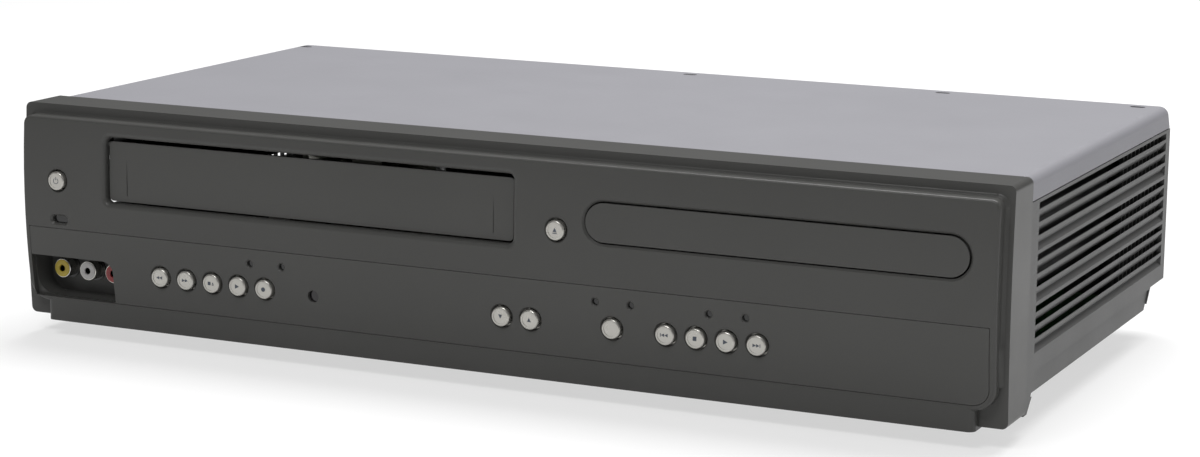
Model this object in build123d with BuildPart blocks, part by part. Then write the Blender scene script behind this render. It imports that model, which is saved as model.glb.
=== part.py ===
from build123d import *
import os
from math import cos, pi, radians, sin, sqrt, tan

os.makedirs("parts", exist_ok=True)

# A tabletop deck that plays video cassettes on the left and discs on the right.
# Millimetres. The origin lies on the floor under the middle of the deck's box.
# +X runs to the viewer's right, +Y to the back, +Z up. The front faces -Y.

# ---------------------------------------------------------------- driving dimensions
width = 435.0  # across the bezel's flange
height = 99.5  # floor to the flange's top
body_depth = 223.0  # flange's front plane to the chassis's rear edge
socket_reach = 5.3  # rear sockets beyond the chassis's rear edge

# Front bezel: a flange round the body, with a bowed plate standing out of it
flange_depth = 20.9
flange_base = 8.6
flange_bow = 1.6
flange_corner = 2.5
bezel_wall = 2.5
plate_inset = 3.4
plate_top = 95.0
plate_base = 15.6
plate_wall = 4.0
plate_top_corner = 3.6
plate_bottom_corner = 9.0
plate_edge = 1.2
cove_radius = 2.2
cove_dip = cove_radius * (1 - sqrt(0.5))  # middle of the hollow, from the corner it fills
cove_sink = 0.15  # a cove's outer end, behind the flange's face
key_bevel = 0.45
lamp_bevel = 0.8
crest = 8.7  # the plate's most forward line, ahead of the flange's front plane
crest_height = 64.6
face_radius = 312.0
skirt_inset = 11.5
skirt_base = 7.3
skirt_proud = 5.0
skirt_corner = 3.0

# Body shell
side_inset = 0.7  # side walls, in from the flange
shell_wall = 2.5
floor_wall = 2.0
seam_height = 89.6  # where the cover meets the side walls
cover_gauge = 0.8
cover_drop = 0.6
cover_bend = 4.0
cover_seam = 0.4  # shadow gap over the side walls
cover_lean = 1.2  # how far each side leans in at its top
belly_height = 15.2  # underside of the floor above the table
heel_height = 23.9  # underside of the raised rear strip
toe_run = 4.1
belly_start = 11.1  # behind the flange's back
heel_start = 21.5  # ahead of the rear edge
heel_slope = 7.5
rear_inset = 2.0  # rear panel, in from the shell's rear edge
foot_radius = 10.0

# Louvres in both side walls
louvre_groups = 3
louvre_top = 88.2
louvre_group_height = 18.2
louvre_group_pitch = 19.7
louvre_blades = 3
louvre_pitch = 5.0
louvre_mouth = 2.5  # opening over the first blade
louvre_lip = 1.3  # height of a blade's outer face
louvre_gauge = 2.0  # drop of a blade's upper side towards the inside
louvre_overlap = 0.3  # a blade's inner edge over the next blade's lip
louvre_sill = 2.5  # rise of the sill towards the inside
louvre_front = 11.2  # behind the flange's back
louvre_rear = 6.2  # ahead of the rear edge
louvre_rib = 1.0
louvre_rib_pitch = 6.0
louvre_ribs = 10  # upright ribs behind the rear of the blades
louvre_rib_depth = 1.5
band_depth = 0.7  # recessed band low on each side wall
band_top = 23.3

# Cassette side
cassette_x = -77.6
cassette_width = 187.0
cassette_thick = 25.0
bay_width = 190.4
bay_base = 60.9
bay_top = 88.5
bay_corner = 2.6
bay_bevel = 2.0
door_gauge = 1.8
door_setback = 2.9
door_gap = 0.8
door_head_gap = 1.8  # over the door, for its swing
door_pin = 1.0
door_pivot_drop = 2.9  # pivot below the bay's top
groove_width = 0.5
groove_depth = 0.35
groove_inset = 8.7  # the door's grooves, in from its edges
groove_margin = 2.5
carrier_gauge = 1.2
carrier_front = 24.0  # behind the flange's front plane
carrier_depth = 70.0
carrier_travel = 22.0
carrier_drop = 20.0
carrier_pin = 2.0
deck_height = 30.0
deck_gauge = 1.5
deck_half_width = 106.0
deck_front = 26.0
deck_back = 200.0
reel_spread = 92.0
reel_row = 75.0
reel_radius = 22.0
drum_row = 165.0
drum_radius = 31.0
drum_half_height = 20.0
drum_tilt = 5.5
capstan_radius = 1.5
capstan_offset = 62.6
capstan_row = 137.0
roller_radius = 6.0
guide_spread = 80.0
guide_row = 112.0
guide_travel = 38.0

# Disc side
disc_x = 126.25
disc_row = 72.0
disc_radius = 60.0
slot_width = 155.5
slot_base = 64.7
slot_top = 81.2
slot_bevel = 0.9
tray_gap = 0.6
tray_setback = 0.2
tray_front_gauge = 3.5
tray_half_width = 72.5
tray_base = 69.5
tray_floor = 72.5
tray_top = 77.0
tray_travel = 143.0
loader_half_width = 76.0
loader_wall = 2.5
loader_base = 46.0
loader_back = 178.0
gear_module = 1.5
gear_teeth = 14
gear_row = 13.0
traverse_half_width = 44.0
traverse_base = 51.0
traverse_gauge = 5.0
sled_travel = 33.0

# Lower insert of the bezel with the keys
panel_half_width = 211.8
panel_base = 17.5
panel_top = 48.0
panel_gauge = 2.6
panel_gap = 0.2
panel_corner = 7.0
key_radius = 4.0
key_hole = 4.6
key_proud = 1.4
key_travel = 0.8
key_height = 31.6
key_pitch = 12.6
lamp_hole = 1.4
lamp_height = 41.6

# Socket recess at the insert's left end
recess_left = -211.6
recess_right = -170.8
recess_base = 17.9
recess_top = 35.6
recess_wall = 2.0
recess_round = 8.0  # its lower outer corner
recess_small_round = 0.6
recess_hood_round = 5.0
recess_floor = 7.5  # its back wall, behind the flange's front plane
jack_radius = 4.15
jack_bore = 1.65
jack_pitch = 13.0
jack_height = 28.6
jack_first = -202.4
jack_collar = 5.0  # the wider root of a socket, where it passes its panel
jack_reach = 6.0  # tip of a front socket, ahead of the recess's back wall
jack_edge = 0.3
jack_root = 0.5

# Clearances
running_fit = 0.05
slide_gap = 0.3
hole_gap = 0.1
board_gauge = 1.6

# ---------------------------------------------------------------- derived places
front_y = (crest + key_proud - body_depth - socket_reach) / 2  # the flange's front plane
rear_y = front_y + body_depth
socket_tip = rear_y + socket_reach
flange_back = front_y + flange_depth
shell_half = width / 2 - side_inset
inner_half = shell_half - shell_wall
plate_half = width / 2 - plate_inset
panel_y = rear_y - rear_inset  # rear panel's outer face
rear_gauge = 1.0
tray_back = gear_row + tray_travel + 4.0  # the rack still meets its gear when the tray is out
cover_top = height - cover_drop
cover_under = cover_top - cover_gauge
floor_top = belly_height + floor_wall
main_board_height = floor_top + 3.0
front_board_y = front_y + 9.0
hollow_y = front_y + 3.0  # how far back the plate's own wall is cut
louvre_half_length = (body_depth - flange_depth - louvre_front - louvre_rear) / 2
louvre_mid_y = (flange_back + louvre_front + rear_y - louvre_rear) / 2


def face_y(z, behind=0.0):
    """Y of the bowed face at height z, or of the surface a distance behind it."""
    radius = face_radius - behind
    return front_y - crest + face_radius - sqrt(radius**2 - (z - crest_height) ** 2)


def block(x0, x1, y0, y1, z0, z1, mode=Mode.ADD):
    """A box between two corners, in the part being built."""
    with Locations(((x0 + x1) / 2, (y0 + y1) / 2, (z0 + z1) / 2)):
        Box(x1 - x0, y1 - y0, z1 - z0, mode=mode)


def post(x, y, z0, z1, radius, mode=Mode.ADD):
    """An upright cylinder."""
    with Locations((x, y, (z0 + z1) / 2)):
        Cylinder(radius, z1 - z0, mode=mode)


def spike(x, z, y0, y1, radius, mode=Mode.ADD):
    """A cylinder along Y."""
    with Locations((x, (y0 + y1) / 2, z)):
        Cylinder(radius, y1 - y0, rotation=(90, 0, 0), mode=mode)


def bar(x0, x1, y, z, radius, mode=Mode.ADD):
    """A cylinder along X."""
    with Locations(((x0 + x1) / 2, y, z)):
        Cylinder(radius, x1 - x0, rotation=(0, 90, 0), mode=mode)


def facing(y):
    """The upright plane at depth y, drawn as seen from the front."""
    return Plane.XZ.offset(-y)


def bowed_section(x, z0, z1, near, far_y):
    """Side-on section with a bowed front and a flat back at far_y."""
    mid = (z0 + z1) / 2
    with BuildSketch(Plane.YZ.offset(x), mode=Mode.PRIVATE) as section:
        with BuildLine():
            ThreePointArc((face_y(z0, near), z0), (face_y(mid, near), mid), (face_y(z1, near), z1))
            Polyline((face_y(z1, near), z1), (far_y, z1), (far_y, z0), (face_y(z0, near), z0))
        make_face()
    return section.sketch


def bowed_sheet(x, z0, z1, near, far):
    """Side-on section between two surfaces that both follow the bow."""
    mid = (z0 + z1) / 2
    with BuildSketch(Plane.YZ.offset(x), mode=Mode.PRIVATE) as section:
        with BuildLine():
            ThreePointArc((face_y(z0, near), z0), (face_y(mid, near), mid), (face_y(z1, near), z1))
            Line((face_y(z1, near), z1), (face_y(z1, far), z1))
            ThreePointArc((face_y(z1, far), z1), (face_y(mid, far), mid), (face_y(z0, far), z0))
            Line((face_y(z0, far), z0), (face_y(z0, near), z0))
        make_face()
    return section.sketch


def rounded_outline(x0, x1, z0, z1, y, top_left, top_right, bottom_left, bottom_right):
    """Front-on rectangle whose four corners have their own radii."""
    with BuildSketch(facing(y), mode=Mode.PRIVATE) as outline:
        with Locations(((x0 + x1) / 2, (z0 + z1) / 2)):
            Rectangle(x1 - x0, z1 - z0)
        for x, z, radius in (
            (x0, z1, top_left),
            (x1, z1, top_right),
            (x0, z0, bottom_left),
            (x1, z0, bottom_right),
        ):
            if radius > 0:
                fillet(outline.vertices().sort_by_distance((x, z, 0))[0], radius)
    return outline.sketch


def save(part, name):
    """Labels a finished piece and writes it."""
    part.label = name
    export_step(part, f"parts/{name}.step")


# ---------------------------------------------------------------- places of the keys
upper_key_height = 68.5
standby_x = -196.4
open_x = 36.7
tape_keys = ("rewind", "fast_forward", "stop_eject", "tape_play", "record")
tape_key_x = -146.8
tracking_keys = ("tracking_down", "tracking_up")
tracking_x = 12.3
source_x = 60.1
disc_keys = ("previous", "disc_stop", "disc_play", "next")
disc_key_x = 82.8
keys = {"standby": (standby_x, upper_key_height), "open_close": (open_x, upper_key_height)}
for count, name in enumerate(tape_keys):
    keys[name] = (tape_key_x + count * key_pitch, key_height)
for count, name in enumerate(tracking_keys):
    keys[name] = (tracking_x + count * key_pitch, key_height)
keys["source"] = (source_x, key_height)
for count, name in enumerate(disc_keys):
    keys[name] = (disc_key_x + count * key_pitch, key_height)
lower_keys = {name: place for name, place in keys.items() if place[1] < panel_top}
upper_keys = {name: place for name, place in keys.items() if place[1] > panel_top}

# Indicator lamps in the insert, by the middle of each hole
record_lamp_x = -103.0
timer_lamp_x = -87.9
tape_lamp_x = 53.1
disc_lamp_x = 68.2
scan_lamp_x = 100.8
play_lamp_x = 115.9
lamps = (record_lamp_x, timer_lamp_x, tape_lamp_x, disc_lamp_x, scan_lamp_x, play_lamp_x)
remote_x = -73.5
remote_height = 30.8
remote_radius = 2.5
power_lamp_x = -196.2
power_lamp_height = 51.8
power_lamp_width = 7.7
power_lamp_tall = 3.2
jacks = ("front_video_jack", "front_audio_left_jack", "front_audio_right_jack")
jack_places = {name: jack_first + count * jack_pitch for count, name in enumerate(jacks)}

# Small boards stand on pegs moulded into the bezel
peg_radius = 2.2
key_board = (tape_key_x - 12.0, disc_key_x + 4 * key_pitch + 4.0, 15.0, 45.5)
small_board_half = 8.0
switch_size = 6.0
switch_depth = 3.5
plunger_radius = 1.7
plunger_length = 0.7
plunger_y = front_board_y - switch_depth - plunger_length
stem_end = plunger_y - key_travel - 0.15
peg_height = 18.2
peg_places = [(x, peg_height) for x in (key_board[0] + 4, 0.0, key_board[1] - 4)]
for x in (standby_x, open_x):
    peg_places += [(x - 6.0, upper_key_height - 5.5), (x + 6.0, upper_key_height + 5.5)]


def bowed_panel(x0, x1, z0, z1, near, far, corners):
    """A plate that follows the bow, with four corner radii seen from the front."""
    with BuildPart() as form:
        extrude(bowed_sheet(x0 - 1, z0 - 1, z1 + 1, near, far), x1 - x0 + 2)
        extrude(rounded_outline(x0, x1, z0, z1, hollow_y, *corners), 2 * crest, mode=Mode.INTERSECT)
    return form.part


# ================================================================ casing
# ---------------------------------------------------------------- front bezel
bay_left = cassette_x - bay_width / 2
bay_right = cassette_x + bay_width / 2
pivot_height = bay_top - door_pivot_drop
pivot_setback = door_setback + door_pin + hole_gap
ear_width = 4.0
window = (recess_right + 4.0, panel_half_width - 4.0, panel_base + 3.0, panel_top - 3.0)


def rim(form, x, z):
    """Edges of the opening round (x, z) in a form's bowed front."""
    outlines = [wire for face in form.faces() for wire in face.inner_wires()]
    here = Vector(x, face_y(z), z)
    return min(outlines, key=lambda wire: (wire.bounding_box().center() - here).length).edges()


with BuildPart() as plate_form:
    extrude(bowed_section(0, plate_base, plate_top, 0, hollow_y), plate_half, both=True)
    fillet(plate_form.edges().filter_by(Axis.Y).group_by(Axis.Z)[-1], plate_top_corner)
    fillet(plate_form.edges().filter_by(Axis.Y).group_by(Axis.Z)[0], plate_bottom_corner)
    fillet(plate_form.faces().sort_by(Axis.Y)[0].edges(), plate_edge)
    extrude(
        bowed_section(0, plate_base + bezel_wall, plate_top - bezel_wall, plate_wall, hollow_y + 1),
        plate_half - bezel_wall,
        both=True,
        mode=Mode.SUBTRACT,
    )
    extrude(
        rounded_outline(bay_left, bay_right, bay_base, bay_top, hollow_y, *(4 * [bay_corner])),
        2 * crest,
        mode=Mode.SUBTRACT,
    )
    slot_mid = (slot_base + slot_top) / 2
    with BuildSketch(facing(hollow_y)) as slots:
        with Locations((disc_x, slot_mid)):
            SlotOverall(slot_width, slot_top - slot_base)
        with Locations((power_lamp_x, power_lamp_height)):
            SlotOverall(power_lamp_width, power_lamp_tall)
        with Locations(*upper_keys.values()):
            Circle(key_hole)
    extrude(amount=2 * crest, mode=Mode.SUBTRACT)
    fillet(rim(plate_form, cassette_x, (bay_base + bay_top) / 2), bay_bevel)
    chamfer(rim(plate_form, disc_x, slot_mid), slot_bevel)
    chamfer(rim(plate_form, power_lamp_x, power_lamp_height), lamp_bevel)
    for x, z in upper_keys.values():
        chamfer(rim(plate_form, x, z), key_bevel)

with BuildPart() as front_bezel:
    flange_mid = (flange_base + height) / 2
    with BuildSketch(Plane.YZ) as flange_section:
        with BuildLine():
            ThreePointArc((front_y, flange_base), (front_y - flange_bow, flange_mid), (front_y, height))
            Polyline(
                (front_y, height),
                (flange_back, height),
                (flange_back, flange_base),
                (front_y, flange_base),
            )
        make_face()
    extrude(amount=width / 2, both=True)
    fillet(front_bezel.edges().filter_by(Axis.Y), flange_corner)
    # Skirt under the plate
    with BuildSketch(Plane.XY.offset(skirt_base)) as skirt_plan:
        with Locations((0, front_y - skirt_proud, 0)):
            Rectangle(width - 2 * skirt_inset, flange_depth, align=(Align.CENTER, Align.MIN))
        fillet(skirt_plan.vertices().group_by(Axis.Y)[0], skirt_corner)
    extrude(amount=plate_base + 1.0 - skirt_base)
    # Hollow flange and skirt, open into the plate's hollow
    block(
        -width / 2 + bezel_wall,
        width / 2 - bezel_wall,
        front_y + flange_bow,
        flange_back + 1,
        flange_base + bezel_wall,
        height - bezel_wall,
        mode=Mode.SUBTRACT,
    )
    block(
        -plate_half + bezel_wall,
        plate_half - bezel_wall,
        front_y - crest,
        flange_back,
        plate_base + bezel_wall,
        plate_top - bezel_wall,
        mode=Mode.SUBTRACT,
    )
    block(
        -width / 2 + skirt_inset + bezel_wall,
        width / 2 - skirt_inset - bezel_wall,
        front_y - skirt_proud + bezel_wall,
        flange_back + 1,
        skirt_base + bezel_wall,
        flange_base + bezel_wall + 1,
        mode=Mode.SUBTRACT,
    )
    add(plate_form.part)
    # Hollow round between the plate and the flange, along the top and both sides
    with BuildSketch(Plane.YZ) as top_cove:
        with BuildLine():
            ThreePointArc(
                (front_y, plate_top + cove_radius),
                (front_y - cove_dip, plate_top + cove_dip),
                (front_y - cove_radius, plate_top),
            )
            Polyline(
                (front_y - cove_radius, plate_top),
                (front_y + 1, plate_top),
                (front_y + 1, plate_top + cove_radius),
                (front_y, plate_top + cove_radius),
            )
        make_face()
    extrude(amount=plate_half - plate_top_corner, both=True)
    half_flange = (height - flange_base) / 2
    bow_radius = (half_flange**2 + flange_bow**2) / (2 * flange_bow)
    bow_axis = Axis((0, front_y - flange_bow + bow_radius, flange_mid), (1, 0, 0))
    bow_y = front_y - flange_bow + cove_sink
    for side in (-1, 1):
        with BuildSketch(Plane.XY.offset(flange_mid)) as side_cove:
            with BuildLine():
                ThreePointArc(
                    (side * (plate_half + cove_radius), bow_y),
                    (side * (plate_half + cove_dip), bow_y - cove_dip),
                    (side * plate_half, bow_y - cove_radius),
                )
                Polyline(
                    (side * plate_half, bow_y - cove_radius),
                    (side * plate_half, bow_y + 1),
                    (side * (plate_half + cove_radius), bow_y + 1),
                    (side * (plate_half + cove_radius), bow_y),
                )
            make_face()
        up = (plate_top - plate_top_corner - flange_mid) / bow_radius
        down = (flange_mid - plate_base - plate_bottom_corner) / bow_radius
        revolve(axis=bow_axis, revolution_arc=-up * 180 / pi)
        revolve(side_cove.sketch, axis=bow_axis, revolution_arc=down * 180 / pi)
    # Ears for the cassette door's pins
    ear_y = front_y - crest + bay_bevel
    for left, right in ((bay_left - ear_width, bay_left), (bay_right, bay_right + ear_width)):
        block(left, right, ear_y, ear_y + pivot_setback + 1.7, pivot_height - 3.5, bay_top + 3.0)
    # Walls of the socket recess, and pegs for the small boards
    block(
        -plate_half + bezel_wall - 0.5,
        recess_right + recess_wall,
        front_y - 4.5,
        front_y + recess_floor + recess_wall,
        plate_base + 1.0,
        recess_top + recess_wall,
    )
    for x, z in peg_places:
        spike(x, z, face_y(z, plate_wall - 1), front_board_y, peg_radius)
    # Pocket and window behind the lower insert
    insert_corners = (0, 0, 0, panel_corner)
    add(
        bowed_panel(
            -panel_half_width,
            panel_half_width,
            panel_base,
            panel_top,
            -plate_wall,
            panel_gauge + hole_gap,
            insert_corners,
        ),
        mode=Mode.SUBTRACT,
    )
    extrude(
        rounded_outline(*window, hollow_y + 1, 1.0, 1.0, 1.0, panel_corner - 3),
        2 * crest,
        mode=Mode.SUBTRACT,
    )
    # Socket recess, with a wide round at its lower outer corner
    extrude(
        rounded_outline(
            recess_left,
            recess_right,
            recess_base,
            recess_top,
            front_y + recess_floor,
            recess_small_round,
            recess_hood_round,
            recess_round,
            recess_small_round,
        ),
        2 * crest + recess_floor,
        mode=Mode.SUBTRACT,
    )
    for x in jack_places.values():
        spike(x, jack_height, front_y, front_y + 2 * recess_floor, jack_collar + hole_gap, mode=Mode.SUBTRACT)
    # Holes for the door's pins
    pivot_y = face_y(pivot_height, pivot_setback)
    bar(
        bay_left - ear_width + 0.6,
        bay_right + ear_width - 0.6,
        pivot_y,
        pivot_height,
        door_pin + running_fit,
        mode=Mode.SUBTRACT,
    )
save(front_bezel.part, "front_bezel")


# ---------------------------------------------------------------- lower insert and keys
insert_edge = panel_half_width - panel_gap
with BuildPart() as control_panel:
    insert_corners = (0.4, 0.4, 0.4, panel_corner - panel_gap)
    add(
        bowed_panel(
            -insert_edge,
            insert_edge,
            panel_base + panel_gap,
            panel_top - panel_gap,
            0,
            panel_gauge,
            insert_corners,
        )
    )
    notch = rounded_outline(-width / 2, recess_right, 0, recess_top, hollow_y, 0, recess_hood_round, 0, 0)
    extrude(notch, 2 * crest, mode=Mode.SUBTRACT)
    with BuildSketch(facing(hollow_y)) as holes:
        with Locations(*lower_keys.values()):
            Circle(key_hole)
        with Locations(*[(x, lamp_height) for x in lamps]):
            Circle(lamp_hole)
        with Locations((remote_x, remote_height)):
            Circle(remote_radius)
    extrude(amount=2 * crest, mode=Mode.SUBTRACT)
    for x, z in lower_keys.values():
        chamfer(rim(control_panel, x, z), key_bevel)
    for x in lamps:
        chamfer(rim(control_panel, x, lamp_height), key_bevel)
save(control_panel.part, "control_panel")

# Each key is a cap in its hole, a collar that keeps it in, and a stem to its switch
key_edge = 0.8
dish_radius = 2.9
dish_depth = 0.2
collar_radius = 5.6
collar_gauge = 1.0
stem_radius = 1.7
collar_gap = 0.9  # room behind the sloping wall
for name, (x, z) in keys.items():
    wall = panel_gauge if z < panel_top else plate_wall
    cap_y = face_y(z) - key_proud
    collar_y = face_y(z, wall) + collar_gap
    with BuildPart() as key:
        spike(x, z, cap_y, collar_y + collar_gauge, key_radius)
        fillet(key.edges().sort_by(Axis.Y)[0], key_edge)
        spike(x, z, cap_y, cap_y + dish_depth, dish_radius, mode=Mode.SUBTRACT)
        spike(x, z, collar_y, collar_y + collar_gauge, collar_radius)
        spike(x, z, collar_y, stem_end, stem_radius)
    save(key.part, name + "_button")

# ---------------------------------------------------------------- lamps and window
with BuildPart() as indicator_lenses:
    lens_set = 1.5  # lenses sit this far behind the face
    for x in lamps:
        lens_y = face_y(lamp_height) + lens_set
        spike(x, lamp_height, lens_y, front_board_y, lamp_hole - hole_gap)
    power_y = face_y(power_lamp_height) + 2.2
    with BuildSketch(facing(power_y)) as power_face:
        with Locations((power_lamp_x, power_lamp_height)):
            SlotOverall(power_lamp_width - 2 * hole_gap, power_lamp_tall - 2 * hole_gap)
    extrude(amount=-(front_board_y - power_y))
save(indicator_lenses.part, "indicator_lenses")

with BuildPart() as ir_window:
    window_y = face_y(remote_height) + lens_set
    spike(remote_x, remote_height, window_y, front_board_y, remote_radius - hole_gap)
save(ir_window.part, "ir_window")

# ---------------------------------------------------------------- front sockets
jack_front = front_y + recess_floor - jack_reach
jack_root_y = front_y + recess_floor - jack_root
jack_block = 10.0
jack_wall = front_y + recess_floor + recess_wall
jack_board_y = jack_wall + 8.0
for name, x in jack_places.items():
    with BuildPart() as jack:
        spike(x, jack_height, jack_front, jack_wall + 1, jack_radius)
        fillet(jack.edges().sort_by(Axis.Y)[0], jack_edge)
        spike(x, jack_height, jack_root_y, jack_wall + 1, jack_collar)
        block(
            x - jack_block / 2,
            x + jack_block / 2,
            jack_wall,
            jack_board_y,
            jack_height - jack_block / 2,
            jack_height + jack_block / 2,
        )
        spike(x, jack_height, jack_front, jack_wall + 2, jack_bore, mode=Mode.SUBTRACT)
    save(jack.part, name)

# ---------------------------------------------------------------- boards behind the front
with BuildPart() as front_board:
    left, right, low, high = key_board
    block(left, right, front_board_y, front_board_y + board_gauge, low, high)
    for x, z in upper_keys.values():
        block(
            x - small_board_half,
            x + small_board_half,
            front_board_y,
            front_board_y + board_gauge,
            z - small_board_half,
            z + small_board_half,
        )
    for x, z in keys.values():
        half = switch_size / 2
        block(x - half, x + half, front_board_y - switch_depth, front_board_y, z - half, z + half)
        spike(x, z, plunger_y, front_board_y - 1, plunger_radius)
    # The lamp board and the socket board
    block(
        power_lamp_x - 7,
        power_lamp_x + 7,
        front_board_y,
        front_board_y + board_gauge,
        power_lamp_height - 5,
        power_lamp_height + 5,
    )
    jack_mid = jack_first + jack_pitch
    block(
        jack_mid - 2 * jack_block,
        jack_mid + 2 * jack_block,
        jack_board_y,
        jack_board_y + board_gauge,
        jack_height - jack_block,
        jack_height + jack_block,
    )
save(front_board.part, "front_board")


# ================================================================ body shell
# ---------------------------------------------------------------- chassis tub
def shell_section(x, inset, floor):
    """Side-on outline of the shell, or of its hollow, inset from its lower edges."""
    with BuildSketch(Plane.YZ.offset(x), mode=Mode.PRIVATE) as section:
        with BuildLine():
            Polyline(
                (flange_back - inset, flange_base + floor),
                (flange_back + toe_run, flange_base + floor),
                (flange_back + belly_start, belly_height + floor),
                (rear_y - heel_start - heel_slope, belly_height + floor),
                (rear_y - heel_start, heel_height + floor),
                (rear_y + inset, heel_height + floor),
                (rear_y + inset, seam_height + inset),
                (flange_back - inset, seam_height + inset),
                close=True,
            )
        make_face()
    return section.sketch


loader_posts = [
    (disc_x + side * (loader_half_width + 5.0), front_y + depth)
    for side in (-1, 1)
    for depth in (32.0, 165.0)
]
deck_posts = [
    (cassette_x + side * (deck_half_width - 12.0), front_y + depth)
    for side in (-1, 1)
    for depth in (38.0, 182.0)
]
board_left = -200.0
board_right = 36.0
board_front = front_y + 30.0
board_back = front_y + 186.0
board_posts = [
    (x, y)
    for x in (board_left + 6, board_right - 6)
    for y in (board_front + 8, board_back - 8)
]
power_left = 54.0
power_right = 198.0
power_front = front_y + 64.0
power_posts = [
    (x, y)
    for x in (power_left + 6, power_right - 6)
    for y in (power_front + 8, board_back - 8)
]
post_radius = 3.0
screw_radius = 1.5
screw_head = 3.1
screw_head_height = 1.8
screw_length = 9.0

with BuildPart() as chassis_tub:
    extrude(shell_section(0, 0, 0), shell_half, both=True)
    extrude(shell_section(0, 1, floor_wall), inner_half, both=True, mode=Mode.SUBTRACT)
    # Tongues that reach into the flange
    for side in (-1, 1):
        tongue_out = width / 2 - bezel_wall - slide_gap
        x0, x1 = sorted((side * tongue_out, side * (inner_half - 1.5)))
        block(x0, x1, flange_back - 6.0, flange_back + 3.0, flange_base + 6.0, seam_height - 4.0)
    # Posts for the mechanisms and the boards
    for x, y in loader_posts:
        post(x, y, floor_top - 0.5, loader_base, post_radius)
    for x, y in deck_posts:
        post(x, y, floor_top - 0.5, deck_height, post_radius)
    for x, y in board_posts + power_posts:
        post(x, y, floor_top - 0.5, main_board_height, post_radius)
    for x, y in deck_posts:
        post(x, y, belly_height - 1, belly_height + screw_length, screw_radius + hole_gap, mode=Mode.SUBTRACT)
    # Louvres: windows through the wall, with blades that drop towards the inside
    wall = shell_half - inner_half
    for side in (-1, 1):
        for group in range(louvre_groups):
            top = louvre_top - group * louvre_group_pitch
            base = top - louvre_group_height
            with Locations((side * (shell_half - wall / 2), louvre_mid_y, (top + base) / 2)):
                Box(2 * wall, 2 * louvre_half_length, louvre_group_height, mode=Mode.SUBTRACT)
            with BuildSketch(Plane.XZ.offset(-louvre_mid_y)) as blades:
                for count in range(louvre_blades):
                    lip_top = top - louvre_mouth - count * louvre_pitch
                    with BuildLine():
                        Polyline(
                            (side * shell_half, lip_top),
                            (side * shell_half, lip_top - louvre_lip),
                            (side * inner_half, lip_top - louvre_pitch + louvre_overlap),
                            (side * inner_half, lip_top - louvre_gauge),
                            close=True,
                        )
                    make_face()
                with BuildLine():
                    Polyline(
                        (side * shell_half, base),
                        (side * inner_half, base + louvre_sill),
                        (side * inner_half, base - 0.5),
                        (side * shell_half, base - 0.5),
                        close=True,
                    )
                make_face()
            extrude(amount=louvre_half_length + 0.5, both=True)
        rib_mid = side * (inner_half - louvre_rib_depth / 2 + 0.2)
        rib_low = louvre_top - louvre_groups * louvre_group_pitch
        for count in range(louvre_ribs):
            rib_y = louvre_mid_y + louvre_half_length - (count + 1) * louvre_rib_pitch
            with Locations((rib_mid, rib_y, (rib_low + louvre_top) / 2)):
                Box(louvre_rib_depth + 0.4, louvre_rib, louvre_top - rib_low + 1.0)
        # Recessed band along the wall's lower edge
        with BuildSketch(Plane.YZ.offset(side * (shell_half - band_depth))) as band:
            with BuildLine():
                Polyline(
                    (flange_back + belly_start - 3.0, belly_height - 1),
                    (flange_back + belly_start + 2.0, band_top),
                    (rear_y - heel_start - 2.0, band_top),
                    (rear_y - heel_start - heel_slope, belly_height - 1),
                    close=True,
                )
            make_face()
        extrude(amount=side * 2 * band_depth, mode=Mode.SUBTRACT)
save(chassis_tub.part, "chassis_tub")

# ---------------------------------------------------------------- top cover
cover_front = flange_back + slide_gap
cover_back = panel_y + cover_gauge
notch_places = (-210.0, -5.2, 116.4, 204.1)
notch_length = 6.6
notch_width = 3.6
notch_inset = 5.4
rear_screw_spread = (width / 2 - 22.5) / 3
rear_screw_xs = [count * rear_screw_spread for count in (-3, -1, 1, 3)]
rear_screw_z = seam_height + 4.0


def hood_outline(y, inset):
    """Front-on outline of the cover's bend, inset by its gauge."""
    base = seam_height + cover_seam - inset
    top = cover_top - inset
    half = shell_half - inset
    with BuildSketch(facing(y), mode=Mode.PRIVATE) as outline:
        with BuildLine():
            Polyline(
                (-half, base),
                (half, base),
                (half - cover_lean, top),
                (cover_lean - half, top),
                close=True,
            )
        make_face()
        for x in (-half, half):
            fillet(outline.vertices().sort_by_distance((x, top, 0))[0], cover_bend - inset)
    return outline.sketch


with BuildPart() as top_cover:
    extrude(hood_outline(cover_back, 0), cover_back - cover_front)
    extrude(hood_outline(cover_back - cover_gauge, cover_gauge), body_depth, mode=Mode.SUBTRACT)
    # A joggled tongue that slips under the flange
    tongue_top = height - bezel_wall - slide_gap
    tongue_half = inner_half - cover_bend - cover_lean
    tongue_root = cover_front + 1.5
    tongue_low = tongue_top - cover_gauge
    block(-tongue_half, tongue_half, cover_front, tongue_root, tongue_low, cover_top - 0.2)
    block(-tongue_half, tongue_half, cover_front - 8.0, tongue_root, tongue_low, tongue_top)
    with BuildSketch(Plane.XY.offset(cover_under - 1)) as notches:
        with Locations(*[(x, panel_y - notch_inset) for x in notch_places]):
            SlotOverall(notch_length, notch_width)
    extrude(amount=5, mode=Mode.SUBTRACT)
    for x in rear_screw_xs:
        spike(x, rear_screw_z, panel_y - 1, cover_back + 1, screw_radius + hole_gap, mode=Mode.SUBTRACT)
save(top_cover.part, "top_cover")

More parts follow.
